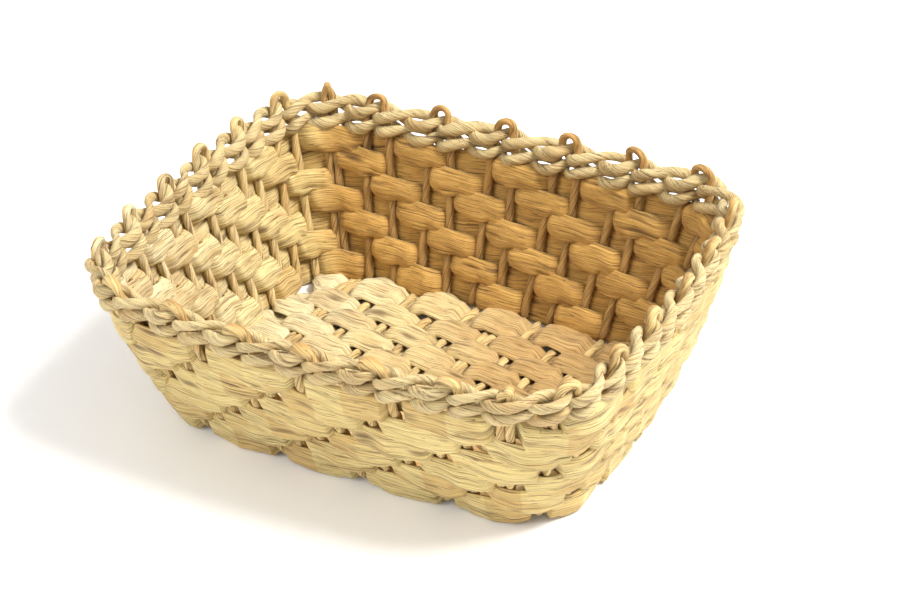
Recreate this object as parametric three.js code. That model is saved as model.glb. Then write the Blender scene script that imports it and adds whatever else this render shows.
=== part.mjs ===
// A rectangular woven basket of twisted leaf cord: upright stakes bent into hairpins, rows of flat
// weaver in a two-over-one twill, six in front and seven on the other walls, a rim of two twined
// courses, and a plain-woven base.
// Millimetres, +Z up, origin in the middle of the underside, front wall towards -Y.

import * as THREE from "three";

// The form, given on the line that the upright stakes follow.
const RIM_Z = 110;
const RIM_HALF = { x: 150, y: 117.5 };
const FOOT_HALF = { x: 121, y: 81.5 };
const RIM_CORNER = 32;
const FOOT_CORNER = 26;
const BELLY = 0.08; // extra swell at mid height, as a share of the flare
// Front, right, back and left wall: outward bow at the rim and at the foot, and dip of the rim.
const RIM_BOW = [9.6, 7.5, 6.7, 8.1];
const FOOT_BOW = [5, 4, 4, 4];
const RIM_DIP = [2.7, 1.9, 2.6, 0.5];

// Places round the wall, counted from the middle of the front left corner towards the right.
const WALL_PLACES = [13.7, 11.3, 13.2, 11.8];
const PLACES = 50;
const FIRST_PLACE = 0.5;
const DOUBLED = [12, 37]; // places where two stakes stand side by side
const PAIR_PULL = 0.17; // how far a stake leans towards its partner at the rim, in places

// Clearances, and the stakes.
const GAP = 0.3;
const STAKE_RADIUS = 2.2;
const STAKE_SIDES = 6;
const STAKE_FOOT_Z = 3;
const STAKE_LEVELS = 4;
const DOUBLE_SPREAD = 2.45; // half the distance between two stakes that share a place
const LOOP_SPRING_Z = 109.5;
const LOOP_RISE = 8;
const LOOP_STEPS = 4;

// The rows of weaver. The front wall has one row fewer, so its rows are taller, and the top row of
// the other walls ends at each front corner.
const ROWS = 7;
const FRONT_ROWS = 6;
const ROW_BOTTOM_Z = 6.5;
const ROWS_HEIGHT = 84.7;
const ROW_CLEARANCE = 0.6;
const FRONT_RAMP = [-0.8, 1.6, 12.2, 14.6]; // places between which the rows grow and shrink again
const TOP_ROW_START = 13;
const TOP_ROW_END = 49;
const WEAVER_THICKNESS = 3.6;
const WEAVER_OFFSET = STAKE_RADIUS + GAP + WEAVER_THICKNESS / 2;
const WEAVER_HOLD = 3; // how far past a stake's middle the weaver stays flat
const TWILL = 3; // outside two stakes, inside one
const TWILL_PHASE = 1;
const SEAM_PLACE = -1;
const WEAVER_TAIL = 6;

// The rim cords: two courses, each of two strands twisted round every stake in turn.
const RIM_COURSES = 2;
const RIM_STRANDS = 2;
const CORD_RADIUS = 2.3;
const CORD_SIDES = 5;
const CORD_OFFSET = STAKE_RADIUS + GAP + CORD_RADIUS;
const CORD_RISE = 2.4; // how far a strand passes above or below the middle of its course
const CORD_HOLD = 3.5;
const COURSE_PITCH = 9.4;
const RIM_BOTTOM_Z = ROW_BOTTOM_Z + ROWS_HEIGHT;
const RIM_SEAM_PLACE = 24;

// The base: cords from front to back, and flat weavers from side to side.
const BASE_CORD_RADIUS = 1.8;
const BASE_CORD_PLACES = 10;
const BASE_CORD_PITCH = 21;
const BASE_DOUBLED = [0, 5];
const BASE_DOUBLE_SPREAD = 2.1;
const BASE_ROWS = 10;
const BASE_ROW_PITCH = 15;
const BASE_WEAVER_WIDTH = 14.2;
const BASE_WEAVER_THICKNESS = 2.6;
const BASE_WEAVER_OFFSET = BASE_CORD_RADIUS + GAP + BASE_WEAVER_THICKNESS / 2;
const BASE_HOLD = 3.5;
const BASE_Z = BASE_WEAVER_OFFSET + BASE_WEAVER_THICKNESS / 2;
const WALL_INSIDE = WEAVER_OFFSET + WEAVER_THICKNESS / 2 + 2 * GAP; // stake line to clear space

const STRAIGHT_ENOUGH = 0.08; // a section this close to the line of its neighbours is left out
const HALVINGS = 30;

const stakeLeaf = leafMaterial(0xc7a468, 0.72);
const weaverLeaf = leafMaterial(0xd9bd84, 0.68);
const rimLeaf = leafMaterial(0xcdb583, 0.7);
const baseLeaf = leafMaterial(0xe0c28e, 0.68);

function leafMaterial(color, roughness) {
  return new THREE.MeshStandardMaterial({ color, roughness, metalness: 0 });
}

const mix = THREE.MathUtils.lerp;
const wrap = THREE.MathUtils.euclideanModulo;

// ---- the surface that the stakes stand in ----

// The wall that a place is on, and how far along that wall it is, from 0 to 1.
function wallOf(place) {
  let rest = wrap(place, PLACES);
  let wall = 0;
  while (wall < WALL_PLACES.length - 1 && rest >= WALL_PLACES[wall]) {
    rest -= WALL_PLACES[wall];
    wall += 1;
  }
  return { wall, share: rest / WALL_PLACES[wall] };
}

// A point of half a rounded rectangle's side: distance along the wall and distance out from the
// centre, for a wall of half length `half` at depth `depth`, running from corner to corner.
function roundedSide(share, half, depth, corner) {
  const length = 2 * (half - corner) + (Math.PI / 2) * corner;
  const run = (share - 0.5) * length;
  const turn = Math.max(0, Math.abs(run) - (half - corner)) / corner;
  const along = turn > 0 ? Math.sign(run) * (half - corner + corner * Math.sin(turn)) : run;
  return { along, out: depth - corner + corner * Math.cos(turn) };
}

function wallPoint(place, z) {
  const { wall, share } = wallOf(place);
  const height = z / RIM_Z;
  const lift = height + BELLY * Math.sin(Math.PI * height);
  const half = { x: mix(FOOT_HALF.x, RIM_HALF.x, lift), y: mix(FOOT_HALF.y, RIM_HALF.y, lift) };
  const corner = mix(FOOT_CORNER, RIM_CORNER, lift);
  const bow = FOOT_BOW.map((foot, i) => mix(foot, RIM_BOW[i], lift));
  const sideways = wall % 2 === 1;
  const length = sideways ? half.y : half.x;
  const side = roundedSide(share, length, sideways ? half.x : half.y, corner);
  const reach = length - corner + corner * Math.SQRT1_2;
  const swell = 1 - (side.along / reach) ** 2;
  const out = side.out + bow[wall] * swell;
  const turn = (wall * Math.PI) / 2;
  return new THREE.Vector3(
    side.along * Math.cos(turn) + out * Math.sin(turn) + (bow[3] - bow[1]) / 2,
    side.along * Math.sin(turn) - out * Math.cos(turn) + (bow[0] - bow[2]) / 2,
    z - RIM_DIP[wall] * swell * height,
  );
}

// The wall's own axes at a place: along it, up it, and out of it.
function wallFrame(place, z) {
  const step = 0.05;
  const along = wallPoint(place + step, z).sub(wallPoint(place - step, z)).normalize();
  const up = wallPoint(place, z + 1).sub(wallPoint(place, z - 1)).normalize();
  const out = along.clone().cross(up).normalize();
  return { point: wallPoint(place, z), along, up: out.clone().cross(along), out };
}

// ---- closed solids swept through a list of sections ----

function polygon(sides) {
  const points = [];
  for (let i = 0; i < sides; i++) {
    const angle = (2 * Math.PI * i) / sides;
    points.push([Math.cos(angle), Math.sin(angle)]);
  }
  return points;
}

const BAND = [[1, 1], [-1, 1], [-1, -1], [1, -1]];

// Each section has a centre and two half axes, a and b, with a x b pointing the way of the sweep.
function sweep(sections, outline) {
  const count = outline.length;
  const vertices = [];
  for (const { centre, a, b } of sections) {
    for (const [p, q] of outline) {
      vertices.push(...centre.clone().addScaledVector(a, p).addScaledVector(b, q).toArray());
    }
  }
  const faces = [];
  for (let ring = 0; ring < sections.length - 1; ring++) {
    for (let i = 0; i < count; i++) {
      const near = ring * count + i;
      const beside = ring * count + ((i + 1) % count);
      faces.push(near, beside, beside + count, near, beside + count, near + count);
    }
  }
  const last = (sections.length - 1) * count;
  for (let i = 1; i < count - 1; i++) {
    faces.push(0, i + 1, i);
    faces.push(last, last + i, last + i + 1);
  }
  const geometry = new THREE.BufferGeometry();
  geometry.setAttribute("position", new THREE.Float32BufferAttribute(vertices, 3));
  geometry.setIndex(faces);
  geometry.computeVertexNormals();
  return geometry;
}

// Leaves out the sections that lie on the straight line between their neighbours.
function thin(sections) {
  const kept = [sections[0]];
  for (let i = 1; i < sections.length - 1; i++) {
    const line = new THREE.Line3(kept[kept.length - 1].centre, sections[i + 1].centre);
    const nearest = line.closestPointToPoint(sections[i].centre, true, new THREE.Vector3());
    if (nearest.distanceTo(sections[i].centre) > STRAIGHT_ENOUGH) {
      kept.push(sections[i]);
    }
  }
  kept.push(sections[sections.length - 1]);
  return kept;
}

function piece(name, geometry, material) {
  const mesh = new THREE.Mesh(geometry, material);
  mesh.name = name;
  return mesh;
}

const numbered = (stem, i) => `${stem}_${String(i + 1).padStart(2, "0")}`;

// ---- where the stakes stand ----

// Every stake in order round the wall. Each is paired with the next, and a pair is one hairpin.
function stakeList() {
  const stakes = [];
  for (let place = 0; place < PLACES; place++) {
    if (DOUBLED.includes(place)) {
      stakes.push({ place, spread: -DOUBLE_SPREAD });
      stakes.push({ place, spread: DOUBLE_SPREAD });
    } else {
      const pull = stakes.length % 2 === 0 ? PAIR_PULL : -PAIR_PULL;
      stakes.push({ place, spread: 0, pull });
    }
  }
  return stakes;
}

const STAKES = stakeList();

// The place on the wall of the stake or stakes at a numbered place, at height z.
function stakePlace(index, z) {
  const stake = STAKES.find((s) => s.place === wrap(index, PLACES));
  return index + FIRST_PLACE + ((stake.pull ?? 0) * z) / RIM_Z;
}

function holdAt(index, hold) {
  return DOUBLED.includes(wrap(index, PLACES)) ? hold + DOUBLE_SPREAD : hold;
}

// 1 on the front wall, 0 on the others, and a ramp round each front corner.
function frontShare(place) {
  const [start, full, fade, end] = FRONT_RAMP;
  const rest = wrap(place - start, PLACES) + start;
  const rise = (rest - start) / (full - start);
  const fall = (end - rest) / (end - fade);
  return THREE.MathUtils.clamp(Math.min(rise, fall), 0, 1);
}

// The middle height and half height of a row at a place.
function rowBand(row, place) {
  const front = frontShare(place);
  const edge = (k) => ROWS_HEIGHT * mix(k / ROWS, Math.min(k / FRONT_ROWS, 1), front);
  const low = edge(row);
  const high = edge(row + 1);
  return { z: ROW_BOTTOM_Z + (low + high) / 2, half: (high - low - ROW_CLEARANCE) / 2 };
}

// A section of a strand that runs round the wall, `shift` along, `out` outwards and `rise` up
// from the middle of a place.
function strandSection(index, z, { shift, out, rise }, halfHeight, halfThickness) {
  const frame = wallFrame(stakePlace(index, z), z);
  const pitch = wallPoint(index + 0.5, z).distanceTo(wallPoint(index - 0.5, z));
  const here = wallFrame(stakePlace(index, z) + shift / pitch, z);
  const centre = here.point.clone().addScaledVector(frame.up, rise).addScaledVector(here.out, out);
  return {
    centre,
    a: here.up.clone().multiplyScalar(halfHeight),
    b: here.out.clone().multiplyScalar(halfThickness),
  };
}

// ---- the pieces ----

// Two stakes of one cord: up the wall, over in a loop above the rim, and down again.
function hairpin(first, second) {
  const legPoint = (stake, z) => {
    const frame = wallFrame(stakePlace(stake.place, z), z);
    return frame.point.addScaledVector(frame.along, stake.spread);
  };
  const leg = (stake) => {
    const points = [];
    for (let i = 0; i <= STAKE_LEVELS; i++) {
      points.push(legPoint(stake, mix(STAKE_FOOT_Z, LOOP_SPRING_Z, i / STAKE_LEVELS)));
    }
    return points;
  };
  const rising = leg(first);
  const falling = leg(second).reverse();
  const crown = [];
  for (let i = 1; i < LOOP_STEPS; i++) {
    const angle = (Math.PI * i) / LOOP_STEPS;
    const point = rising[STAKE_LEVELS].clone().lerp(falling[0], (1 - Math.cos(angle)) / 2);
    point.z += LOOP_RISE * Math.sin(angle);
    crown.push(point);
  }
  const path = [...rising, ...crown, ...falling];
  const middle = (stakePlace(first.place, RIM_Z) + stakePlace(second.place, RIM_Z)) / 2;
  const { out } = wallFrame(middle, RIM_Z);
  const sections = path.map((centre, i) => {
    const before = path[Math.max(i - 1, 0)];
    const after = path[Math.min(i + 1, path.length - 1)];
    const ahead = after.clone().sub(before).normalize();
    const side = out.clone().addScaledVector(ahead, -out.dot(ahead)).normalize();
    return {
      centre,
      a: side.clone().multiplyScalar(STAKE_RADIUS),
      b: ahead.cross(side).multiplyScalar(STAKE_RADIUS),
    };
  });
  return sweep(sections, polygon(STAKE_SIDES));
}

// One row of weaver. Most rows go once round, starting outside a stake and ending inside it.
function wallWeaver(row) {
  const whole = row < FRONT_ROWS;
  const first = whole ? SEAM_PLACE + (row % TWILL) : TOP_ROW_START;
  const last = whole ? first + PLACES : TOP_ROW_END;
  const section = (index, shift, out) => {
    const { z, half } = rowBand(row, index + FIRST_PLACE);
    return strandSection(index, z, { shift, out, rise: 0 }, half, WEAVER_THICKNESS / 2);
  };
  const sections = [];
  for (let index = first; index <= last; index++) {
    const inside = wrap(index - row - TWILL_PHASE, TWILL) === 0;
    const out = inside ? -WEAVER_OFFSET : WEAVER_OFFSET;
    const hold = holdAt(index, WEAVER_HOLD);
    sections.push(section(index, index === first ? -WEAVER_TAIL : -hold, out));
    sections.push(section(index, 0, out));
    sections.push(section(index, index === last ? WEAVER_TAIL : hold, out));
  }
  return sweep(thin(sections), BAND);
}

// One strand of a rim course: inside every other stake, crossing its partner between them.
function rimCord(course, strand) {
  const z = RIM_BOTTOM_Z + (course + 0.5) * COURSE_PITCH;
  const sections = [];
  for (let index = RIM_SEAM_PLACE; index < RIM_SEAM_PLACE + PLACES; index++) {
    const inside = (index + strand + course) % 2 === 0;
    const out = inside ? -CORD_OFFSET : CORD_OFFSET;
    const rise = inside ? CORD_RISE : -CORD_RISE;
    const hold = holdAt(index, CORD_HOLD);
    const section = (shift, lift) =>
      strandSection(index, z, { shift, out, rise: lift }, CORD_RADIUS, CORD_RADIUS);
    sections.push(section(-hold, rise));
    sections.push(section(hold, -rise));
  }
  return sweep(sections, polygon(CORD_SIDES));
}

const baseCordX = (place) => (place - (BASE_CORD_PLACES - 1) / 2) * BASE_CORD_PITCH;

// The point of the stake line on one wall whose x or y is as given, found by halving.
function wallPointAt(wall, axis, value, z) {
  const start = WALL_PLACES.slice(0, wall).reduce((sum, count) => sum + count, 0);
  const rising = wallPoint(start + 0.01, z)[axis] < wallPoint(start + 1, z)[axis];
  let low = start;
  let high = start + WALL_PLACES[wall] - 1e-6;
  for (let i = 0; i < HALVINGS; i++) {
    const middle = (low + high) / 2;
    if (wallPoint(middle, z)[axis] < value === rising) {
      low = middle;
    } else {
      high = middle;
    }
  }
  return wallPoint(low, z);
}

// A cord of the base, which stops just short of the line where the wall's stakes stand.
function baseCord(x) {
  const section = (y) => ({
    centre: new THREE.Vector3(x, y, BASE_Z),
    a: new THREE.Vector3(0, 0, BASE_CORD_RADIUS),
    b: new THREE.Vector3(BASE_CORD_RADIUS, 0, 0),
  });
  const stop = STAKE_RADIUS + 2 * GAP;
  const front = wallPointAt(0, "x", x, BASE_Z).y + stop;
  const back = wallPointAt(2, "x", x, BASE_Z).y - stop;
  return sweep([section(front), section(back)], polygon(STAKE_SIDES));
}

// One flat weaver of the base, over and under the cords in turn.
function baseWeaver(row) {
  const y = (row - (BASE_ROWS - 1) / 2) * BASE_ROW_PITCH;
  const widest = y + (Math.sign(y) * BASE_WEAVER_WIDTH) / 2;
  const right = wallPointAt(1, "y", widest, ROW_BOTTOM_Z).x - WALL_INSIDE;
  const left = wallPointAt(3, "y", widest, ROW_BOTTOM_Z).x + WALL_INSIDE;
  const section = (x, z) => ({
    centre: new THREE.Vector3(x, y, z),
    a: new THREE.Vector3(0, BASE_WEAVER_WIDTH / 2, 0),
    b: new THREE.Vector3(0, 0, BASE_WEAVER_THICKNESS / 2),
  });
  const sections = [];
  for (let place = 0; place < BASE_CORD_PLACES; place++) {
    const over = (place + row) % 2 === 0;
    const z = BASE_Z + (over ? BASE_WEAVER_OFFSET : -BASE_WEAVER_OFFSET);
    const hold = BASE_DOUBLED.includes(place) ? BASE_HOLD + BASE_DOUBLE_SPREAD : BASE_HOLD;
    const first = place === 0;
    const last = place === BASE_CORD_PLACES - 1;
    sections.push(section(first ? left : baseCordX(place) - hold, z));
    sections.push(section(last ? right : baseCordX(place) + hold, z));
  }
  return sweep(sections, BAND);
}

// ---- the whole basket ----

const basket = new THREE.Group();

for (let i = 0; i < STAKES.length / 2; i++) {
  const geometry = hairpin(STAKES[2 * i], STAKES[2 * i + 1]);
  basket.add(piece(numbered("stake_hairpin", i), geometry, stakeLeaf));
}

for (let row = 0; row < ROWS; row++) {
  basket.add(piece(numbered("wall_weaver_row", row), wallWeaver(row), weaverLeaf));
}

for (let course = 0; course < RIM_COURSES; course++) {
  for (let strand = 0; strand < RIM_STRANDS; strand++) {
    const name = `rim_cord_${course === 0 ? "lower" : "upper"}_${strand === 0 ? "a" : "b"}`;
    basket.add(piece(name, rimCord(course, strand), rimLeaf));
  }
}

for (let place = 0; place < BASE_CORD_PLACES; place++) {
  const name = numbered("base_cord", place);
  if (BASE_DOUBLED.includes(place)) {
    basket.add(piece(`${name}_a`, baseCord(baseCordX(place) - BASE_DOUBLE_SPREAD), stakeLeaf));
    basket.add(piece(`${name}_b`, baseCord(baseCordX(place) + BASE_DOUBLE_SPREAD), stakeLeaf));
  } else {
    basket.add(piece(name, baseCord(baseCordX(place)), stakeLeaf));
  }
}

for (let row = 0; row < BASE_ROWS; row++) {
  basket.add(piece(numbered("base_weaver", row), baseWeaver(row), baseLeaf));
}

export default basket;
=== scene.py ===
"""The looks of a rectangular basket woven from dried leaf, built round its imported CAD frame.

Shapes are worked out in millimetres on the same wall surface as the CAD part, and every strand is
one swept mesh whose surface carries its fibres, folds and creases.
"""

import math

import bpy
import numpy as np
from mathutils import Matrix, Vector


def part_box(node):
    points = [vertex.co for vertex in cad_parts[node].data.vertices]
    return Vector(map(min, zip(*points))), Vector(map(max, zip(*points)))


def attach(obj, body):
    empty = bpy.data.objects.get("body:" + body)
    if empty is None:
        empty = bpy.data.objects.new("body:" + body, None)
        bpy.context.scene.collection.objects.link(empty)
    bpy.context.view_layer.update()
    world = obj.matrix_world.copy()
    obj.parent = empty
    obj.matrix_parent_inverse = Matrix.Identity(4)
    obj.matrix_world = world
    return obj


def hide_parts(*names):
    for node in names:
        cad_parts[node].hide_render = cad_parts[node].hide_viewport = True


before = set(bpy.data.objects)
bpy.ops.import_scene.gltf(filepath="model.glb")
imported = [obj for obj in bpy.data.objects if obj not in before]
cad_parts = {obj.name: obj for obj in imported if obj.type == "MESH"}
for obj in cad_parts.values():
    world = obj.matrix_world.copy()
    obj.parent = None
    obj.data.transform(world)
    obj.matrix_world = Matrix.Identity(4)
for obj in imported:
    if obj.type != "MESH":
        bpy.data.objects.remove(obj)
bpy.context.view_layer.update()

MM = 0.001

# The form, as in the CAD part: half sizes, corner radii and bows on the line of the stakes.
RIM_Z = 110.0
RIM_HALF = (150.0, 117.5)
FOOT_HALF = (121.0, 81.5)
RIM_CORNER = 32.0
FOOT_CORNER = 26.0
BELLY = 0.08
RIM_BOW = np.array([9.6, 7.5, 6.7, 8.1])
FOOT_BOW = np.array([5.0, 4.0, 4.0, 4.0])
RIM_DIP = np.array([2.7, 1.9, 2.6, 0.5])

WALL_PLACES = np.array([13.7, 11.3, 13.2, 11.8])
WALL_STARTS = np.cumsum(WALL_PLACES) - WALL_PLACES
PLACES = 50
FIRST_PLACE = 0.5
DOUBLED = (12, 37)
PAIR_PULL = 0.17
DOUBLE_SPREAD = 2.45
STAKE_FOOT_Z = 3.0

ROWS = 7
FRONT_ROWS = 6
ROW_BOTTOM_Z = 6.5
ROWS_HEIGHT = 84.7
FRONT_RAMP = (-0.8, 1.6, 12.2, 14.6)
TOP_ROW_START = 13
TOP_ROW_END = 49
TWILL = 3
TWILL_PHASE = 1
SEAM_PLACE = -1

COURSE_PITCH = 9.4
RIM_BOTTOM_Z = ROW_BOTTOM_Z + ROWS_HEIGHT
RIM_SEAM_PLACE = 24

BASE_CORD_PLACES = 10
BASE_CORD_PITCH = 21.0
BASE_DOUBLED = (0, 5)
BASE_DOUBLE_SPREAD = 2.1
BASE_ROWS = 10
BASE_ROW_PITCH = 15.0
BASE_Z = 4.7

# Every strand: points round its section, and what varies along it.
STAKE_AROUND = 14
RIM_AROUND = 18
WEAVER_AROUND = 38
BASE_AROUND = 36
EDGE_RELIEF = 0.35  # the share of the relief that is left at a flat strand's thin edges
BRICKS = 40  # random values for the bricks of a weaver, used again after the last
WARMTH = 0.5
WARMTH_VARIES = 0.25
FLAT_POWER = 0.85  # below 1 it crowds the points of a flat section towards its edges
FIBRE_RUN = 16.0  # length between the random values of the fibres
FIBRE_CREASES = 0.16  # the share of them that are creases
CREASE_DEPTHS = (0.5, 1.0)
FIBRE_DRIFT = 0.35

# Where a strand lies in the noise of the leaf, so that no two look the same: where each kind
# starts, and how far apart its strands are.
STAKE_APART = 3.1
WEAVER_APART = 7.3
RIM_FIRST, RIM_COURSES_APART, RIM_STRANDS_APART = 50, 9, 4
BASE_WEAVER_FIRST, BASE_WEAVER_APART = 90, 5.7
BASE_CORD_FIRST, BASE_CORD_APART = 200, 3.7
ACROSS_SPREAD = 8
SIDES_APART = 4
CORD_NOISE_RADIUS = 2.5

# Wall weavers. A phase is 0 or 3 where the weaver passes inside a stake and 1 or 2 outside one.
WEAVER_STEPS = 10  # sections for each place
WEAVER_OVERRUN = 0.3  # places that each end runs past its last stake
WEAVER_RIDGES = 34
WEAVER_SOFTEN = 3  # sections each way over which its widths are averaged
WEAVER_RELIEF = (0.17, 0.85)  # height of the fibres and depth of the creases
LEVEL_PITCH = ROWS_HEIGHT / ROWS
PHASES = (0.00, 0.35, 0.70, 0.92, 1.40, 2.00, 2.45, 2.72, 3.00)
HALF_WIDTHS = (8.7, 8.6, 7.8, 7.8, 8.8, 9.2, 8.0, 7.4, 8.7)
MIDDLES = (0.0, 0.1, 0.2, 0.1, -1.3, -2.1, -1.2, -0.2, 0.0)
WIDTH_VARIES = 0.06
MIDDLE_VARIES = 0.5
BOTTOM_EDGE_Z = 1.4
DOUBLE_SPARE = 0.1  # how much longer a weaver stays over a doubled stake, as a phase
FAN = 0.34  # how much later the lower fibres of a middle row swing out, as a phase
FAN_LEAVE = 0.4  # the share of that delay at the start of the swing
OUT_FROM, OUT_BY = 0.12, 0.36  # phases of the outer surface's swing out
BACK_FROM, BACK_BY = 2.68, 2.90  # and of its swing back in
IN_FROM, IN_BY = 0.65, 1.08  # phases from the nearest inside stake of the inner surface's swing
IN_ROUNDING = 0.14  # how much sooner it swings at the edges, which rounds the bricks' ends
OUTER_SURFACE = (-2.7, 5.6)  # where it passes inside a stake, and outside one
INNER_SURFACE = (-6.3, 2.5)
ARCH_MIDDLE, ARCH_REACH = 1.5, 0.38
OUTER_ARCH = 0.9  # how far the outer surface bulges between its two stakes
INNER_ARCH = 1.9  # and the inner one
OUTER_TILT = 1.3  # how far the upper edge leans in and the lower one out
THINNEST = 1.4  # the least thickness of the leaf at its middle
END_TAPER = 0.35  # places over which an end narrows
END_WIDTH = 0.3
OUTER_EDGE_POWER = 4.5
INNER_EDGE_POWER = 2.3
PUFF = 0.10
PUFF_RUN = 9.0
PUFF_VALUES = 200

# Places round the wall where the painted shade of the inside is set, and its value at each:
# near 1 is painted shade (back wall), below 0 is painted light in cream (left wall).
PAINTED_SHADE_PLACES = (0.0, 1.0, 12.7, 25.0, 37.0, 39.0, 49.0, 50.0)
PAINTED_SHADES = (0.2, 0.7, 0.7, 0.95, 1.0, -0.1, -0.4, 0.2)

# Twisted cords.
CORD_TAPER = 4.0  # length over which an end of a cord narrows
CORD_END_SIZE = 0.4
CORD_LOBE = 0.04
CORD_SIZE_VARIES = 0.06
CORD_SIZE_RUN = 6.0
CORD_WARMTH_RUN = 23.0
CORD_VALUES = 80
CORD_CREASES = 0.2
CORD_RIDGES = 14
CORD_RUN = 13.0
CORD_RELIEF = (0.13, 0.45)

STAKE_PUSH = (1.3, -0.8)  # how far a weaver inside a stake, and one outside it, pushes it out
STAKE_FOOT_GAP = 0.3  # how far above its foot the line of a leg starts
LEG_POINTS = 46
LOOP_POINTS = 16
STAKE_PITCH = 46.0
STAKE_WIDE = 2.6
STAKE_DEEP = 2.5
PINCH = 2.2  # how far the legs of a hairpin close together under its loop
PINCH_FROM_Z = 96.0
LOOP_RISE = (5.0, 7.0)
FRONT_LOOP_RISE = (2.6, 4.0)
LOOP_LEAN = (0.6, 0.9)  # middle and spread of how far a loop leans outwards
LOOP_SWAY = (0.0, 1.3)  # and of how far it leans along the rim
SHARED_LOOP_CURL = 1.5
LOOP_FULLNESS = 0.8  # below 1 it squares the loop
LOOP_SHARE = 0.14  # share of the hairpin over which it has the loop's widths
LOOP_WIDE = (2.0, 2.7)  # on the other walls, and on the front one
LOOP_DEEP = (2.9, 3.6)

RIM_STEPS = 9  # sections for each place
RIM_START = RIM_SEAM_PLACE - 0.46
RIM_GAP = 0.08  # places between the two ends of a strand
RIM_SWING = 5.0  # how far each strand passes inside and outside the stakes
RIM_WAVE = 3.0  # how far each strand rises and falls between them
RIM_WAVE_LEAD = 0.5
RIM_TALL = (3.2, 3.5)  # half widths between the stakes and at them
RIM_THICK = (2.3, 2.8)
RIM_PITCH = 30.0
RIM_CREASES = 0.12
RIM_SQUARENESS = 0.75
RIM_WOBBLE, RIM_WOBBLES = 0.35, 1.7  # how much a strand's height wobbles, and how often a place
RIM_VARIES, RIM_VARIATIONS = 0.25, 1.1  # and its widths
RIM_VALUES = 120
# share of the inside's painted shade that falls on the lower side of the rim
RIM_PAINTED_SHADE = 0.5

# The base.
BASE_CORD_POINTS = 64
BASE_CORD_WANDER, BASE_CORD_BENDS, BASE_CORD_VALUES = 0.5, 8, 20
BASE_CORD_OVERRUN = 2.5
BASE_CORD_WAVE = 1.6
BASE_CORD_DIP = 1.0
BASE_CORD_END = 12.0  # length over which an end goes down
BASE_CORD_WIDE = 2.5
BASE_CORD_DEEP = 2.0
BASE_CORD_TWIST = 40.0
BASE_SECTIONS = 125
BASE_BOW = 3.5  # how far the sides of the base bulge towards the bowed walls
BASE_OVERRUN = 4.5
BASE_OUTERMOST_SHIFT = 3.2
BASE_OUTERMOST_WIDER = 2.6
BASE_HALF_WIDTHS = (9.2, 10.6)  # under a cord and over one
BASE_WIDTH_VARIES = 0.05
BASE_UPPER_SURFACE = (-0.8, 4.8)
BASE_LOWER_SURFACE = (-4.5, 1.2)
BASE_UPPER_STEP = (-0.99, -0.35)  # each surface rises between these, where -1 is under a cord
BASE_LOWER_STEP = (0.1, 0.97)
BASE_ROUNDING = 0.16
# painted light at the left of the base (below 0, towards cream) and painted shade at its right, over
# these x
BASE_PAINTED_SHADES = (-0.3, 0.85)
BASE_PAINTED_SHADE_X = (-100.0, 60.0)
BASE_SOFTEN = 4
BASE_SLANT = 1.6
BASE_END = 16.0  # length over which an end goes down
BASE_END_DIP = 1.5
BASE_END_TAPER = 7.0
BASE_END_WIDTH = 0.45
BASE_EDGE_POWER = 2.1
BASE_RIDGES = 32
BASE_RELIEF = (0.16, 0.8)
LOWEST_Z = 0.05

rng = np.random.default_rng(7)


# ---- small maths ----

def smooth(low, high, value):
    """0 below low, 1 above high, and a smooth step between them."""
    t = np.clip((value - low) / (high - low), 0.0, 1.0)
    return t * t * (3.0 - 2.0 * t)


def mix(a, b, t):
    return a + (b - a) * t


def unit(vectors):
    return vectors / np.linalg.norm(vectors, axis=-1, keepdims=True)


def ripple(values, at):
    """Evenly spaced values read at fractional positions, with smooth steps between them."""
    last = len(values) - 1
    cell = np.floor(at).astype(int)
    t = smooth(0.0, 1.0, at - cell)
    return mix(values[np.clip(cell, 0, last)], values[np.clip(cell + 1, 0, last)], t)


# ---- the wall surface, as in the CAD part ----

def wall_point(place, z):
    """The point of the stake line at a place round the wall and a height, with the rim's dips."""
    place, z = np.broadcast_arrays(np.asarray(place, float), np.asarray(z, float))
    rest = np.mod(place, PLACES)
    wall = np.searchsorted(WALL_STARTS, rest, side="right") - 1
    share = (rest - WALL_STARTS[wall]) / WALL_PLACES[wall]
    height = z / RIM_Z
    lift = height + BELLY * np.sin(np.pi * height)
    half_x = mix(FOOT_HALF[0], RIM_HALF[0], lift)
    half_y = mix(FOOT_HALF[1], RIM_HALF[1], lift)
    corner = mix(FOOT_CORNER, RIM_CORNER, lift)
    bows = [mix(FOOT_BOW[i], RIM_BOW[i], lift) for i in range(4)]
    sideways = wall % 2 == 1
    half = np.where(sideways, half_y, half_x)
    depth = np.where(sideways, half_x, half_y)
    run = (share - 0.5) * (2 * (half - corner) + math.pi / 2 * corner)
    turn = np.maximum(0.0, np.abs(run) - (half - corner)) / corner
    along = np.where(turn > 0, np.sign(run) * (half - corner + corner * np.sin(turn)), run)
    reach = half - corner + corner * math.sqrt(0.5)
    swell = 1 - (along / reach) ** 2
    out = depth - corner + corner * np.cos(turn) + np.choose(wall, bows) * swell
    angle = wall * math.pi / 2
    x = along * np.cos(angle) + out * np.sin(angle) + (bows[3] - bows[1]) / 2
    y = along * np.sin(angle) - out * np.cos(angle) + (bows[0] - bows[2]) / 2
    return np.stack([x, y, z - RIM_DIP[wall] * swell * height], axis=-1)


def wall_frame(place, z):
    """Points of the stake line with the wall's own axes there: along, up and out."""
    step = 0.25
    along = unit(wall_point(place + step, z) - wall_point(place - step, z))
    up = unit(wall_point(place, z + 1) - wall_point(place, z - 1))
    out = unit(np.cross(along, up))
    return wall_point(place, z), along, np.cross(out, along), out


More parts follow.
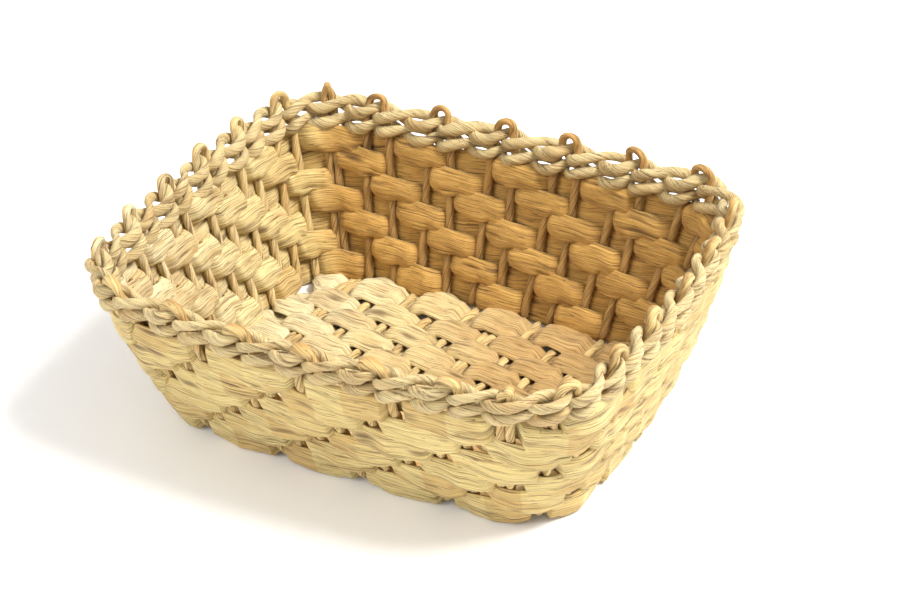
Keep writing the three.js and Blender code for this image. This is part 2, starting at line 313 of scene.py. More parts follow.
def stake_list():
    """Every stake in order: its place, its spread from the place, and its pull to its partner."""
    stakes = []
    for place in range(PLACES):
        if place in DOUBLED:
            stakes += [(place, -DOUBLE_SPREAD, 0.0), (place, DOUBLE_SPREAD, 0.0)]
        else:
            stakes.append((place, 0.0, PAIR_PULL if len(stakes) % 2 == 0 else -PAIR_PULL))
    return stakes


STAKES = stake_list()
PULL = np.zeros(PLACES)
for stake_place_index, _, stake_pull in STAKES:
    PULL[stake_place_index] = stake_pull


def place_at(index, z):
    """The place on the wall of a fractional stake index, so that whole numbers fall on stakes."""
    index, z = np.broadcast_arrays(np.asarray(index, float), np.asarray(z, float))
    low = np.floor(index).astype(int)
    pull = mix(PULL[low % PLACES], PULL[(low + 1) % PLACES], index - low)
    return index + FIRST_PLACE + pull * z / RIM_Z


def front_share(place):
    """1 on the front wall, 0 on the others, and a ramp round each front corner."""
    start, full, fade, end = FRONT_RAMP
    rest = np.mod(place - start, PLACES) + start
    return np.clip(np.minimum((rest - start) / (full - start), (end - rest) / (end - fade)), 0, 1)


def row_edge(row, place):
    """Height of the lower edge of a row, which is the upper edge of the one below."""
    share = mix(row / ROWS, np.minimum(row / FRONT_ROWS, 1), front_share(place))
    return ROW_BOTTOM_Z + ROWS_HEIGHT * share


# ---- meshes ----

def add_attribute(mesh, name, values):
    layer = mesh.attributes.new(name, "FLOAT_VECTOR", "POINT")
    layer.data.foreach_set("vector", np.ascontiguousarray(values, dtype=np.float32).ravel())


def strand_mesh(name, rings, strand, tone):
    """One closed tube through rings[section, around], in millimetres, with a point at each end.

    strand holds each vertex's distance along and across the strand, and a third number that tells
    strands and sides apart. tone holds how deep it lies in a crease, which is darkened as painted
    shade, its warmth, and its shade: 0 is the leaf's outer colour, 1 its inner one, which is painted
    shade, and below 0 it goes towards cream, which is painted light.
    """
    sections, around = rings.shape[:2]
    ends = [rings[0].mean(axis=0), rings[-1].mean(axis=0)]
    points = np.vstack([rings.reshape(-1, 3), ends]) * MM
    ring = np.arange(sections - 1)[:, None] * around
    i = np.arange(around)[None, :]
    j = (i + 1) % around
    quads = np.stack([ring + i, ring + j, ring + around + j, ring + around + i], axis=-1)
    quads = quads.reshape(-1, 4)
    i, j = i[0], j[0]
    first, last = sections * around, sections * around + 1
    top = (sections - 1) * around
    caps = np.vstack([
        np.stack([np.full(around, first), j, i], axis=-1),
        np.stack([np.full(around, last), top + i, top + j], axis=-1),
    ])
    mesh = bpy.data.meshes.new(name)
    mesh.vertices.add(len(points))
    mesh.vertices.foreach_set("co", points.astype(np.float32).ravel())
    mesh.loops.add(quads.size + caps.size)
    corners = np.concatenate([quads.ravel(), caps.ravel()]).astype(np.int32)
    mesh.loops.foreach_set("vertex_index", corners)
    starts = np.concatenate([np.arange(len(quads)) * 4, quads.size + np.arange(len(caps)) * 3])
    mesh.polygons.add(len(quads) + len(caps))
    mesh.polygons.foreach_set("loop_start", starts.astype(np.int32))
    mesh.update(calc_edges=True)
    mesh.validate()
    mesh.polygons.foreach_set("use_smooth", np.ones(len(mesh.polygons), dtype=bool))
    for label, values in (("strand", strand), ("tone", tone)):
        flat = values.reshape(-1, 3)
        add_attribute(mesh, label, np.vstack([flat, flat[:1], flat[-1:]]))
    return mesh


def show(name, node, mesh, material):
    """A piece that stands for a CAD node and rides with the basket."""
    piece = bpy.data.objects.new(name, mesh)
    bpy.context.scene.collection.objects.link(piece)
    piece.data.materials.append(material)
    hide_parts(node)
    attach(piece, "root")
    return piece


# ---- fibres: the relief of a dried leaf, long along the strand and narrow across it ----

class Fibres:
    """Relief of a strand's surface, for a distance along it and a share of the way round it."""

    def __init__(self, length, ridges, run=FIBRE_RUN, creases=FIBRE_CREASES):
        self.knots = max(4, int(length / run) + 3)
        self.run = run
        self.ridges = ridges
        size = (self.knots, ridges)
        self.fine = rng.normal(0.0, 1.0, size)
        creased = rng.random(size) < creases
        self.crease = creased * rng.uniform(*CREASE_DEPTHS, size)
        self.drift = np.cumsum(rng.normal(0.0, FIBRE_DRIFT, self.knots))

    def read(self, table, along, around):
        row = np.clip(along / self.run, 0, self.knots - 1.001)
        low = row.astype(int)
        t = smooth(0.0, 1.0, row - low)
        turn = around * self.ridges + ripple(self.drift, row)
        cell = np.floor(turn).astype(int)
        s = turn - cell
        a = mix(table[low, cell % self.ridges], table[low, (cell + 1) % self.ridges], s)
        b = mix(table[low + 1, cell % self.ridges], table[low + 1, (cell + 1) % self.ridges], s)
        return mix(a, b, t)

    def relief(self, along, around, fine, deep):
        """Height of the surface in millimetres, and how deep each point lies in a crease."""
        crease = self.read(self.crease, along, around)
        height = fine * self.read(self.fine, along, around) - deep * crease
        return height, np.clip(crease, 0.0, 1.0)


def flat_outline(count):
    """Across (1 at one edge, -1 at the other) and side (1 on one face, -1 on the other) of a section."""
    angle = 2 * np.pi * np.arange(count) / count
    across = np.cos(angle)
    return np.sign(across) * np.abs(across) ** FLAT_POWER, np.sin(angle)


def soften(values, reach):
    """A running average of one value a section, over reach sections each way."""
    kernel = np.hanning(2 * reach + 1)
    padded = np.pad(values[:, 0], reach, mode="edge")
    return np.convolve(padded, kernel / kernel.sum(), mode="valid")[:, None]


def distances(points):
    """Distance along a line of points, from its first one."""
    travel = np.zeros(len(points))
    travel[1:] = np.cumsum(np.linalg.norm(np.diff(points, axis=0), axis=-1))
    return travel


def flat_attributes(travel, across, side, number, crease, warmth, shade):
    """The two attributes of a flat strand, whose faces are told apart in the first."""
    spread = 0 * travel
    strand = np.stack([travel, ACROSS_SPREAD * across + spread, number + SIDES_APART * side + spread], -1)
    warmth = warmth * WARMTH_VARIES + WARMTH + spread
    return strand, np.stack([crease, warmth, shade], -1)


# ---- the wall weavers ----

def painted_inner_shade(place):
    """Painted shade and light inside the basket: up to 1 (painted shade) on the back wall, below 0
    (painted light, cream) on the left one.
    """
    return np.interp(np.mod(place, PLACES), PAINTED_SHADE_PLACES, PAINTED_SHADES)


def weaver_surfaces(phase, across, spare, fan):
    """Offsets of a wall weaver's outer and inner surface from the stake line.

    spare widens the stretch over a doubled stake. fan delays the lower fibres, so that the upper
    ones swing out first and the band comes out from behind a stake as a fan.
    """
    low = (1 - across) / 2
    leave = OUT_FROM + spare + FAN_LEAVE * fan * low
    arrive = OUT_BY + spare + fan * low
    rise = smooth(leave, arrive, phase) * (1 - smooth(BACK_FROM - spare, BACK_BY - spare, phase))
    arch = np.exp(-((phase - ARCH_MIDDLE) / ARCH_REACH) ** 2)
    outer = mix(*OUTER_SURFACE, rise) + OUTER_ARCH * arch - OUTER_TILT * across * rise
    near = np.minimum(phase, TWILL - phase) + IN_ROUNDING * np.abs(across) ** 3
    fall = smooth(IN_FROM + spare, IN_BY + 0.5 * spare, near)
    inner = mix(*INNER_SURFACE, fall) - INNER_ARCH * arch
    return outer, np.minimum(inner, outer - THINNEST)


def wall_weaver(row):
    """A row of the wall: a flat leaf outside two stakes and inside one."""
    whole = row < FRONT_ROWS
    first = SEAM_PLACE + row % TWILL if whole else TOP_ROW_START
    last = first + PLACES if whole else TOP_ROW_END
    start, stop = first - WEAVER_OVERRUN, last + WEAVER_OVERRUN
    across, side = flat_outline(WEAVER_AROUND)
    index = np.linspace(start, stop, int((stop - start) * WEAVER_STEPS) + 1)[:, None]
    place = index + FIRST_PLACE
    bottom, top = row_edge(row, place), row_edge(row + 1, place)
    z = (bottom + top) / 2
    scale = (top - bottom) / LEVEL_PITCH
    phase = np.mod(index - row - TWILL_PHASE, TWILL)
    spare = np.isin(np.round(index).astype(int) % PLACES, DOUBLED) * DOUBLE_SPARE
    brick = np.floor((index - row - TWILL_PHASE) / TWILL + 0.5).astype(int) % BRICKS
    widths, middles, warmths = rng.normal(0.0, 1.0, (3, BRICKS))
    half = np.interp(phase, PHASES, HALF_WIDTHS) * (1 + WIDTH_VARIES * widths[brick]) * scale**0.9
    middle = np.interp(phase, PHASES, MIDDLES) * scale + MIDDLE_VARIES * middles[brick]
    half, middle = soften(half, WEAVER_SOFTEN), soften(middle, WEAVER_SOFTEN)
    if row == 0:
        top_edge = z + middle + half
        half = (top_edge - BOTTOM_EDGE_Z) / 2
        middle = (top_edge + BOTTOM_EDGE_Z) / 2 - z
    ends = smooth(start, start + END_TAPER, index) * (1 - smooth(stop - END_TAPER, stop, index))
    half = half * mix(END_WIDTH, 1.0, ends)
    outer, inner = weaver_surfaces(phase, across, spare, FAN if 0 < row < FRONT_ROWS - 1 else 0.0)
    centre, thick = (outer + inner) / 2, (outer - inner) / 2
    point, _, up, out = wall_frame(place_at(index, z), z)
    travel = distances(point[:, 0])[:, None] + 0 * across
    around = np.broadcast_to(np.arange(WEAVER_AROUND) / WEAVER_AROUND, travel.shape)
    height, crease = Fibres(travel.max(), WEAVER_RIDGES).relief(travel, around, *WEAVER_RELIEF)
    power = np.where(side > 0, OUTER_EDGE_POWER, INNER_EDGE_POWER)
    edge = np.sqrt(np.clip(1 - np.abs(across) ** power, 0.0, 1.0))
    puff = 1 + PUFF * ripple(rng.normal(0, 1, PUFF_VALUES), travel / PUFF_RUN)
    offset = centre + thick * np.sign(side) * edge * puff
    offset = offset + np.sign(side) * height * mix(EDGE_RELIEF, 1.0, edge)
    lift = middle + half * across
    rings = point + up * lift[..., None] + out * offset[..., None]
    # the inner face takes the painted shade and painted light of the inside, by place
    shade = (side < 0) * painted_inner_shade(place)
    number = row * WEAVER_APART
    strand, tone = flat_attributes(travel, across, side, number, crease, warmths[brick], shade)
    return strand_mesh(f"weaver_{row}", rings, strand, tone)


# ---- twisted cords: stakes, rim and base cords ----

def twisted(name, path, out, wide, deep, number, pitch, around, shade, creases=CORD_CREASES):
    """A cord of twisted leaf along path; deep is its half width towards out, wide the other one.

    shade colours the side that faces away from out with painted shade, or below 0 with painted
    light: the inside of a stake, the underside of a rim or base cord. Each of wide, deep and shade
    may be one number or one for each point of the path. number sets the cord apart in the noise of the
    leaf.
    """

    def for_each_section(value):
        return np.broadcast_to(np.asarray(value, float).reshape(-1, 1), (len(path), 1))

    ahead = unit(np.gradient(path, axis=0))
    side = unit(out - ahead * np.sum(out * ahead, axis=-1, keepdims=True))
    cross = np.cross(ahead, side)
    travel = distances(path)
    length = travel[-1]
    travel = travel[:, None]
    angle = (2 * np.pi * np.arange(around) / around)[None, :]
    turn = angle - 2 * np.pi * travel / pitch
    ends = smooth(0.0, CORD_TAPER, travel) * smooth(0.0, CORD_TAPER, length - travel)
    size = mix(CORD_END_SIZE, 1.0, ends)
    size = size * (1 + CORD_SIZE_VARIES * ripple(rng.normal(0, 1, CORD_VALUES), travel / CORD_SIZE_RUN))
    size = size * (1 + CORD_LOBE * np.cos(2 * turn))
    share = np.mod(turn / (2 * np.pi), 1.0)
    fibres = Fibres(length, CORD_RIDGES, CORD_RUN, creases)
    height, crease = fibres.relief(travel + 0 * angle, share, *CORD_RELIEF)
    rise = (for_each_section(deep) * size + height) * np.cos(angle)
    across = (for_each_section(wide) * size + height) * np.sin(angle)
    rings = path[:, None] + side[:, None] * rise[..., None] + cross[:, None] * across[..., None]
    radius = CORD_NOISE_RADIUS
    strand = np.stack([travel + 0 * angle, radius * np.cos(turn), number + radius * np.sin(turn)], -1)
    patches = ripple(rng.normal(0, 1, CORD_VALUES), travel / CORD_WARMTH_RUN + 0 * angle)
    warmth = WARMTH + WARMTH_VARIES * patches
    # the side facing away from out takes the painted shade
    facing = np.clip(0.5 - 2.0 * np.cos(angle), 0.0, 1.0)
    tone = np.stack([crease, warmth, for_each_section(shade) * facing + 0 * rise], -1)
    return strand_mesh(name, rings, strand, tone)


def stake_lean(place, z):
    """How far the weavers push a stake outwards or inwards at height z."""
    row = np.interp(z, [row_edge(k, place + FIRST_PLACE) for k in range(ROWS + 1)], range(ROWS + 1))
    rows = np.arange(-1, ROWS + 1)
    inside = np.mod(place - rows - TWILL_PHASE, TWILL) == 0
    push = np.where(inside, *STAKE_PUSH) * ((rows >= 0) & (rows < ROWS))
    return ripple(push, row + 0.5)


def hairpin(number, first, second):
    """Two stakes of one cord and the loop that joins them above the rim."""

    def leg(stake, heights, inwards):
        place, spread, _ = stake
        point, along, _, out = wall_frame(place_at(place, heights), heights)
        pinch = PINCH * smooth(PINCH_FROM_Z, RIM_Z + 2, heights)[:, None] * inwards
        return point + along * (spread + pinch) + out * stake_lean(place, heights)[:, None]

    heights = np.linspace(STAKE_FOOT_Z + STAKE_FOOT_GAP, RIM_Z, LEG_POINTS)
    shared = first[0] == second[0]
    rising = leg(first, heights, 0 if shared else 1)
    falling = leg(second, heights, 0 if shared else -1)[::-1]
    middle = (place_at(first[0], RIM_Z) + place_at(second[0], RIM_Z)) / 2
    in_front = front_share(middle)
    rise = mix(rng.uniform(*LOOP_RISE), rng.uniform(*FRONT_LOOP_RISE), in_front)
    _, along, _, out = wall_frame(middle, RIM_Z)
    angle = np.linspace(0, np.pi, LOOP_POINTS)[1:-1][:, None]
    crown = rising[-1] + (falling[0] - rising[-1]) * (1 - np.cos(angle)) / 2
    crown[:, 2] += (rise * np.sin(angle) ** LOOP_FULLNESS)[:, 0]
    crown += np.sin(angle) * (out * rng.normal(*LOOP_LEAN) + along * rng.normal(*LOOP_SWAY))
    if shared:
        crown += np.sin(2 * angle) * along * SHARED_LOOP_CURL
    path = np.vstack([rising, crown, falling])
    in_loop = np.exp(-(np.linspace(-1, 1, len(path)) / LOOP_SHARE) ** 2)
    wide = mix(STAKE_WIDE, mix(*LOOP_WIDE, in_front), in_loop)
    deep = mix(STAKE_DEEP, mix(*LOOP_DEEP, in_front), in_loop)
    outs = np.broadcast_to(out, path.shape)
    # the inside of a stake takes the painted shade of its place round the wall
    shade = painted_inner_shade(first[0] + FIRST_PLACE)
    name = f"stakes_{number}"
    number = number * STAKE_APART
    return twisted(name, path, outs, wide, deep, number, STAKE_PITCH, STAKE_AROUND, shade)


def rim_cord(course, strand):
    """One of a course's two strands, which pass a stake on either side and cross before the next."""
    z = RIM_BOTTOM_Z + (course + 0.5) * COURSE_PITCH
    index = np.linspace(RIM_START, RIM_START + PLACES - RIM_GAP, PLACES * RIM_STEPS)
    turn = np.pi * (index + strand + course)
    at_stake = np.cos(turn) ** 2
    radial = -RIM_SWING * np.sign(np.cos(turn)) * np.abs(np.cos(turn)) ** RIM_SQUARENESS
    rise = -RIM_WAVE * np.sin(turn + RIM_WAVE_LEAD)
    point, _, up, out = wall_frame(place_at(index, z), np.full_like(index, z))
    wobble = ripple(rng.normal(0, RIM_WOBBLE, RIM_VALUES), index * RIM_WOBBLES)
    path = point + out * radial[:, None] + up * (rise + wobble)[:, None]
    vary = RIM_VARIES * ripple(rng.normal(0, 1, RIM_VALUES), index * RIM_VARIATIONS)
    tall = mix(*RIM_TALL, at_stake) + vary
    thick = mix(*RIM_THICK, at_stake) + vary
    # the lower side of the rim takes part of the painted shade of the inside
    shade = RIM_PAINTED_SHADE * painted_inner_shade(index + FIRST_PLACE)
    name = f"rim_{course}_{strand}"
    number = RIM_FIRST + course * RIM_COURSES_APART + strand * RIM_STRANDS_APART
    return twisted(name, path, up, thick, tall, number, RIM_PITCH, RIM_AROUND, shade, RIM_CREASES)


def base_cord_x(place):
    return (place - (BASE_CORD_PLACES - 1) / 2) * BASE_CORD_PITCH


def painted_base_shade(x):
    """Painted light and shade on the base: pale (painted light) at the left, brown (painted shade) at the
    right.
    """
    return mix(*BASE_PAINTED_SHADES, smooth(*BASE_PAINTED_SHADE_X, x))


def base_cord(name, x, place, number):
    """A cord of the base, whose ends dip a little where they meet the wall."""
    low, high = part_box(name)
    y = np.linspace(low[1] / MM - BASE_CORD_OVERRUN, high[1] / MM + BASE_CORD_OVERRUN, BASE_CORD_POINTS)
    row = y / BASE_ROW_PITCH + (BASE_ROWS - 1) / 2
    over = np.cos(np.pi * (row - place))  # the weaver passes over the cord where this is 1
    near_end = 1 - smooth(0.0, BASE_CORD_END, np.minimum(y - y[0], y[-1] - y))
    z = BASE_Z - BASE_CORD_WAVE * over * (1 - near_end) - BASE_CORD_DIP * near_end
    bends = np.linspace(0, BASE_CORD_BENDS, len(y))
    wander = ripple(rng.normal(0, BASE_CORD_WANDER, BASE_CORD_VALUES), bends)
    path = np.stack([x + wander, y, z], axis=-1)
    up = np.broadcast_to([0.0, 0.0, 1.0], path.shape)
    # the underside of a base cord takes the base's painted light and shade
    wide, deep, shade = BASE_CORD_WIDE, BASE_CORD_DEEP, painted_base_shade(x)
    mesh_name = name + "_mesh"
    return twisted(mesh_name, path, up, wide, deep, number, BASE_CORD_TWIST, STAKE_AROUND, shade)


def base_weaver(row, name):
    """A wide flat weaver of the base: a leaf-shaped brick over every other cord."""
    low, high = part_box(name)
    y = (row - (BASE_ROWS - 1) / 2) * BASE_ROW_PITCH
    reach = BASE_OVERRUN + BASE_BOW * (1 - (y / FOOT_HALF[1]) ** 2)
    left, right = low[0] / MM - reach, high[0] / MM + reach
    outermost = (row == BASE_ROWS - 1) - float(row == 0)
    y = y + BASE_OUTERMOST_SHIFT * outermost
    x = np.linspace(left, right, BASE_SECTIONS)[:, None]
    cell = x / BASE_CORD_PITCH + (BASE_CORD_PLACES - 1) / 2
    over = np.cos(np.pi * (cell + row))
    across, side = flat_outline(BASE_AROUND)
    upper = smooth(*BASE_UPPER_STEP, over - BASE_ROUNDING * np.abs(across) ** 3)
    above = mix(*BASE_UPPER_SURFACE, upper)
    below = mix(*BASE_LOWER_SURFACE, smooth(*BASE_LOWER_STEP, over))
    brick = np.floor(cell + 0.5).astype(int) % BRICKS
    widths, drifts, warmths = rng.normal(0.0, 1.0, (3, BRICKS))
    half = mix(*BASE_HALF_WIDTHS, np.clip(over, 0.0, 1.0)) * (1 + BASE_WIDTH_VARIES * widths[brick])
    half = half + BASE_OUTERMOST_WIDER * abs(outermost)
    slant = BASE_SLANT * np.sin(np.pi * (cell - np.round(cell)))
    drift = MIDDLE_VARIES * drifts[brick] - slant * (over > 0)
    drift = drift + BASE_BOW * outermost * (1 - (x / FOOT_HALF[0]) ** 2)
    half, drift = soften(half, BASE_SOFTEN), soften(drift, BASE_SOFTEN)
    to_end = np.minimum(x - left, right - x)
    near_end = 1 - smooth(0.0, BASE_END, to_end)
    half = half * mix(BASE_END_WIDTH, 1.0, smooth(0.0, BASE_END_TAPER, to_end))
    centre, thick = (above + below) / 2, (above - below) / 2
    travel = (x - left) + 0 * across
    around = np.broadcast_to(np.arange(BASE_AROUND) / BASE_AROUND, travel.shape)
    height, crease = Fibres(travel.max(), BASE_RIDGES).relief(travel, around, *BASE_RELIEF)
    edge = np.sqrt(np.clip(1 - np.abs(across) ** BASE_EDGE_POWER, 0.0, 1.0))
    z = BASE_Z - BASE_END_DIP * near_end + centre + thick * np.sign(side) * edge
    z = np.maximum(z + np.sign(side) * height * mix(EDGE_RELIEF, 1.0, edge), LOWEST_Z)
    rings = np.stack([x + 0 * across, y + drift - half * across, z], axis=-1)
    # the top of a base weaver takes painted light at the left and painted shade at the right
    shade = (side > 0) * painted_base_shade(x)
    number = BASE_WEAVER_FIRST + row * BASE_WEAVER_APART
    strand, tone = flat_attributes(travel, across, side, number, crease, warmths[brick], shade)
    return strand_mesh(name + "_mesh", rings, strand, tone)


# ---- materials ----

# the leaf's outer colour; a honey brown of painted shade for the inside and a cream of painted light; a
# dark brown for stains and fibre lines that is also the painted shade in creases
STRAW = (0.63, 0.49, 0.19)
PAINTED_SHADE_HONEY = (0.55, 0.31, 0.070)
PAINTED_LIGHT_CREAM = (0.76, 0.68, 0.44)
BROWN = (0.10, 0.045, 0.010)
LEAF_ROUGHNESS = (0.50, 0.78)

# Each noise of the leaf: its scale along, across and between strands, its detail and roughness.
STREAK = ((0.05, 0.9, 0.9), 6.0, 0.65)
HAIR = ((0.03, 2.4, 1.2), 3.0, 0.6)
PATCH = ((0.035, 0.12, 0.5), 3.0, 0.5)
STAIN = ((0.09, 0.35, 1.3), 5.0, 0.6)
LINE = ((0.02, 0.8, 0.6), 2.0, 0.4)
LINE_MIDDLE = 0.5
LINE_WIDTH = 0.014


def leaf_material(name, outer, inner):
    """Dried leaf: long streaks, warm and pale patches, creases darkened as painted shade and a fine fibre
    grain.

    outer is its colour at shade 0 and inner its colour at shade 1, the painted shade of the inside;
    below shade 0 it turns towards cream, which is painted light.
    """
    material = bpy.data.materials.new(name)
    material.use_nodes = True
    nodes, links = material.node_tree.nodes, material.node_tree.links
    nodes.clear()

    def node(kind, **settings):
        made = nodes.new(kind)
        for key, value in settings.items():
            setattr(made, key, value)
        return made

    def noise(vector, scale, detail, rough):
        mapping = node("ShaderNodeMapping")
        mapping.inputs["Scale"].default_value = scale
        links.new(vector, mapping.inputs["Vector"])
        texture = node("ShaderNodeTexNoise")
        texture.inputs["Scale"].default_value = 1.0
        texture.inputs["Detail"].default_value = detail
        texture.inputs["Roughness"].default_value = rough
        links.new(mapping.outputs["Vector"], texture.inputs["Vector"])
        return texture.outputs["Fac"]

    def ramp(value, low, high):
        made = node("ShaderNodeMapRange")
        made.interpolation_type = "SMOOTHSTEP"
        made.inputs["From Min"].default_value = low
        made.inputs["From Max"].default_value = high
        links.new(value, made.inputs["Value"])
        return made.outputs["Result"]

    def blend(factor, a, b, share=1.0):
        made = node("ShaderNodeMix", data_type="RGBA")
        for socket, value in ((made.inputs[6], a), (made.inputs[7], b)):
            if isinstance(value, tuple):
                socket.default_value = (*value, 1.0)
            else:
                links.new(value, socket)
        scaled = node("ShaderNodeMath", operation="MULTIPLY")
        scaled.inputs[1].default_value = share
        links.new(factor, scaled.inputs[0])
        links.new(scaled.outputs[0], made.inputs[0])
        return made.outputs[2]

    strand = node("ShaderNodeAttribute", attribute_name="strand").outputs["Vector"]
    tone_vector = node("ShaderNodeAttribute", attribute_name="tone").outputs["Vector"]
    tone = node("ShaderNodeSeparateXYZ")
    links.new(tone_vector, tone.inputs[0])
    crease, warmth, painted_shade = tone.outputs

    streak = noise(strand, *STREAK)
    hair = noise(strand, *HAIR)
    patch = noise(strand, *PATCH)
    stain = noise(strand, *STAIN)
    line = noise(strand, *LINE)
    thin_line = node("ShaderNodeMath", operation="COMPARE")
    links.new(line, thin_line.inputs[0])
    thin_line.inputs[1].default_value = LINE_MIDDLE
    thin_line.inputs[2].default_value = LINE_WIDTH

    # painted shade and light: towards the inner colour where the inside lies in shade, towards cream
    # where light falls on it
    shade_share = ramp(painted_shade, 0.0, 1.0)
    colour = blend(shade_share, outer, inner)
    colour = blend(ramp(painted_shade, 0.0, -0.5), colour, PAINTED_LIGHT_CREAM)
    pale = tuple(min(1.0, c * 1.25 + 0.07) for c in outer)
    pale = blend(shade_share, pale, tuple(min(1.0, c * 1.3 + 0.04) for c in inner))
    colour = blend(ramp(streak, 0.42, 0.66), colour, pale, 0.60)
    warm = tuple((a + b) / 2 * c for a, b, c in zip(inner, outer, (0.80, 0.62, 0.40)))
    colour = blend(ramp(patch, 0.48, 0.72), colour, warm, 0.40)
    colour = blend(ramp(warmth, 0.45, 1.0), colour, warm, 0.45)
    colour = blend(ramp(stain, 0.64, 0.80), colour, BROWN, 0.18)
    colour = blend(ramp(hair, 0.50, 0.34), colour, BROWN, 0.72)
    colour = blend(thin_line.outputs[0], colour, BROWN, 0.60)
    # painted shade in the creases of the leaf
    colour = blend(ramp(crease, 0.25, 0.9), colour, BROWN, 0.80)

    shader = node("ShaderNodeBsdfPrincipled")
    links.new(colour, shader.inputs["Base Color"])
    rough = node("ShaderNodeMapRange")
    rough.inputs["To Min"].default_value = LEAF_ROUGHNESS[0]
    rough.inputs["To Max"].default_value = LEAF_ROUGHNESS[1]
    links.new(streak, rough.inputs["Value"])
    links.new(rough.outputs["Result"], shader.inputs["Roughness"])
    shader.inputs["Specular IOR Level"].default_value = 0.35
    shader.inputs["Sheen Weight"].default_value = 0.08
    shader.inputs["Sheen Roughness"].default_value = 0.5
    grain = node("ShaderNodeMath", operation="ADD")
    links.new(hair, grain.inputs[0])
    links.new(streak, grain.inputs[1])
    bump = node("ShaderNodeBump")
    bump.inputs["Strength"].default_value = 0.8
    bump.inputs["Distance"].default_value = 0.0010
    links.new(grain.outputs[0], bump.inputs["Height"])
    links.new(bump.outputs["Normal"], shader.inputs["Normal"])
    output = node("ShaderNodeOutputMaterial")
    links.new(shader.outputs[0], output.inputs[0])
    return material


# the second colour of each leaf is painted shade for its inside or underside
WALL_LEAF = leaf_material("wall_leaf", STRAW, PAINTED_SHADE_HONEY)
STAKE_LEAF = leaf_material("stake_leaf", (0.62, 0.45, 0.18), (0.44, 0.25, 0.07))
RIM_LEAF = leaf_material("rim_leaf", (0.56, 0.44, 0.21), (0.52, 0.35, 0.13))
BASE_LEAF = leaf_material("base_leaf", (0.64, 0.51, 0.24), (0.44, 0.27, 0.09))


# ---- the pieces ----

def build_basket():
    """Every piece in turn: the stakes, the wall, the rim and the base."""
    for i in range(len(STAKES) // 2):
        node = f"stake_hairpin_{i + 1:02d}"
        mesh = hairpin(i, STAKES[2 * i], STAKES[2 * i + 1])
        show(f"{node}_leaf", node, mesh, STAKE_LEAF)
    for row in range(ROWS):
        node = f"wall_weaver_row_{row + 1:02d}"
        show(f"{node}_leaf", node, wall_weaver(row), WALL_LEAF)
    for course, level in enumerate(("lower", "upper")):
        for strand, letter in enumerate("ab"):
            node = f"rim_cord_{level}_{letter}"
            show(f"{node}_leaf", node, rim_cord(course, strand), RIM_LEAF)
    for place in range(BASE_CORD_PLACES):
        stem = f"base_cord_{place + 1:02d}"
        spots = [(stem, 0.0)]
        if place in BASE_DOUBLED:
            spots = [(stem + "_a", -BASE_DOUBLE_SPREAD), (stem + "_b", BASE_DOUBLE_SPREAD)]
        for node, shift in spots:
            number = BASE_CORD_FIRST + place * BASE_CORD_APART + shift
            mesh = base_cord(node, base_cord_x(place) + shift, place, number)
            show(f"{node}_leaf", node, mesh, STAKE_LEAF)
    for row in range(BASE_ROWS):
        node = f"base_weaver_{row + 1:02d}"
        show(f"{node}_leaf", node, base_weaver(row, node), BASE_LEAF)


# ---- camera, floor and light ----

CAMERA = {"azimuth": 30.27, "elevation": 33.13, "roll": -3.24, "distance": 1373.5, "lens": 94.48}
CAMERA_SHIFT = (-14.27, -53.4)  # millimetres right and up in the camera's plane
FLOOR_REACH = 6.0  # metres, as are the places and sizes of the lights
FLOOR_COLOUR = (0.93, 0.93, 0.925, 1.0)
SKY_COLOUR = (1.0, 0.99, 0.975, 1.0)
SKY_STRENGTH = 0.72
LIGHT_AIM = (0.0, 0.0, 0.05)
KEY_LIGHT = {"place": (1.1, 0.35, 1.7), "size": 0.9, "watts": 72.0, "colour": (1.0, 0.98, 0.95)}
FILL_LIGHT = {"place": (-0.9, -1.6, 1.1), "size": 1.4, "watts": 20.0, "colour": (1.0, 1.0, 1.0)}


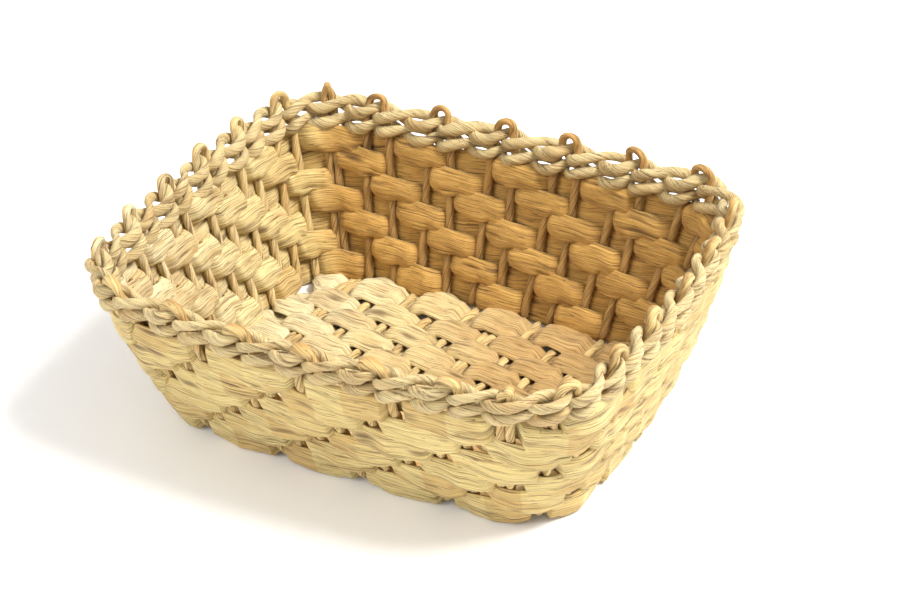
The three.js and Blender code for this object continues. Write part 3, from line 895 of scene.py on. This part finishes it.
def add_camera():
    azimuth, elevation, roll = (math.radians(CAMERA[k]) for k in ("azimuth", "elevation", "roll"))
    back = Vector((math.sin(azimuth) * math.cos(elevation),
                   -math.cos(azimuth) * math.cos(elevation), math.sin(elevation)))
    right = Vector((math.cos(azimuth), math.sin(azimuth), 0.0))
    up = back.cross(right)
    right, up = (math.cos(roll) * right + math.sin(roll) * up,
                 math.cos(roll) * up - math.sin(roll) * right)
    place = back * CAMERA["distance"] - right * CAMERA_SHIFT[0] - up * CAMERA_SHIFT[1]
    data = bpy.data.cameras.new("camera")
    data.lens = CAMERA["lens"]
    data.sensor_width = 36.0
    data.clip_start = 0.05
    camera = bpy.data.objects.new("camera", data)
    camera.matrix_world = Matrix.Translation(place * MM) @ Matrix((right, up, back)).transposed().to_4x4()
    bpy.context.scene.collection.objects.link(camera)
    bpy.context.scene.camera = camera


def add_floor():
    reach = FLOOR_REACH
    corners = [(-reach, -reach, 0), (reach, -reach, 0), (reach, reach, 0), (-reach, reach, 0)]
    mesh = bpy.data.meshes.new("floor")
    mesh.from_pydata(corners, [], [(0, 1, 2, 3)])
    floor = bpy.data.objects.new("floor", mesh)
    bpy.context.scene.collection.objects.link(floor)
    material = bpy.data.materials.new("floor_white")
    material.use_nodes = True
    shader = material.node_tree.nodes["Principled BSDF"]
    shader.inputs["Base Color"].default_value = FLOOR_COLOUR
    shader.inputs["Roughness"].default_value = 0.9
    shader.inputs["Specular IOR Level"].default_value = 0.1
    mesh.materials.append(material)


def add_light(name, place, size, watts, colour):
    data = bpy.data.lights.new(name, "AREA")
    data.shape = "DISK"
    data.size = size
    data.energy = watts
    data.color = colour
    light = bpy.data.objects.new(name, data)
    light.location = place
    light.rotation_euler = (Vector(LIGHT_AIM) - Vector(place)).to_track_quat("-Z", "Y").to_euler()
    bpy.context.scene.collection.objects.link(light)


def light_scene():
    world = bpy.data.worlds.new("studio")
    world.use_nodes = True
    world.node_tree.nodes["Background"].inputs["Color"].default_value = SKY_COLOUR
    world.node_tree.nodes["Background"].inputs["Strength"].default_value = SKY_STRENGTH
    bpy.context.scene.world = world
    add_light("key", **KEY_LIGHT)
    add_light("fill", **FILL_LIGHT)
    bpy.context.scene.view_settings.view_transform = "Standard"


build_basket()
add_camera()
add_floor()
light_scene()
